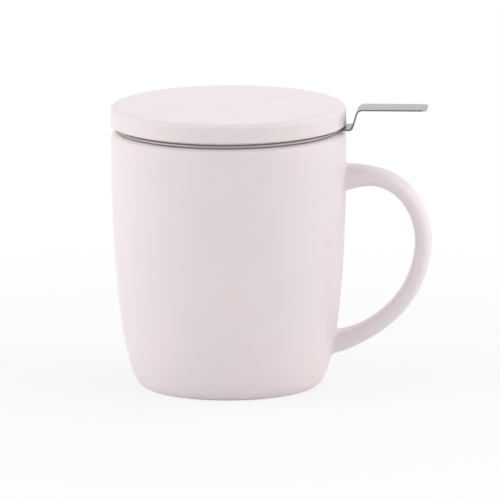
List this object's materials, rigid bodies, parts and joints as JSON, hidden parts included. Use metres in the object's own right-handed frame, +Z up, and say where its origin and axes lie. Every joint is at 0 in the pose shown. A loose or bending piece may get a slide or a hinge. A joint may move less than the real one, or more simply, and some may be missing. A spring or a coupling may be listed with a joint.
{
  "type": "lidded tea mug with infuser",
  "caption": "Round ceramic mug with a loop handle, a drop-in perforated steel infuser with a flat lift tab, and a flat lift-off ceramic lid.",
  "frame": {"origin": "on the mug's axis, at the plane of the foot ring that stands on the table", "axes": "+Z up along the mug's axis; +X towards the handle and the infuser's tab; +Y completes the right-handed set"},
  "size_m": [0.1203, 0.0882, 0.1064],
  "materials": {
    "mug_glaze": "satin",
    "lid_glaze": "satin",
    "steel": "satin"
  },
  "bodies": {
    "mug": {"mug_body": "mug_glaze", "mug_handle": "mug_glaze"},
    "infuser": {"infuser_rim": "steel", "infuser_collar": "steel", "infuser_screen": "steel", "infuser_hoop": "steel", "infuser_floor": "steel", "infuser_tab": "steel"},
    "lid": {"lid": "lid_glaze"}
  },
  "joints": [
    {"name": "infuser_lift", "type": "slide", "parent": "mug", "child": "infuser", "axis": [0, 0, 1], "range_m": [0, 0.075]},
    {"name": "lid_lift", "type": "slide", "parent": "infuser", "child": "lid", "axis": [0, 0, 1], "range_m": [0, 0.035]}
  ]
}
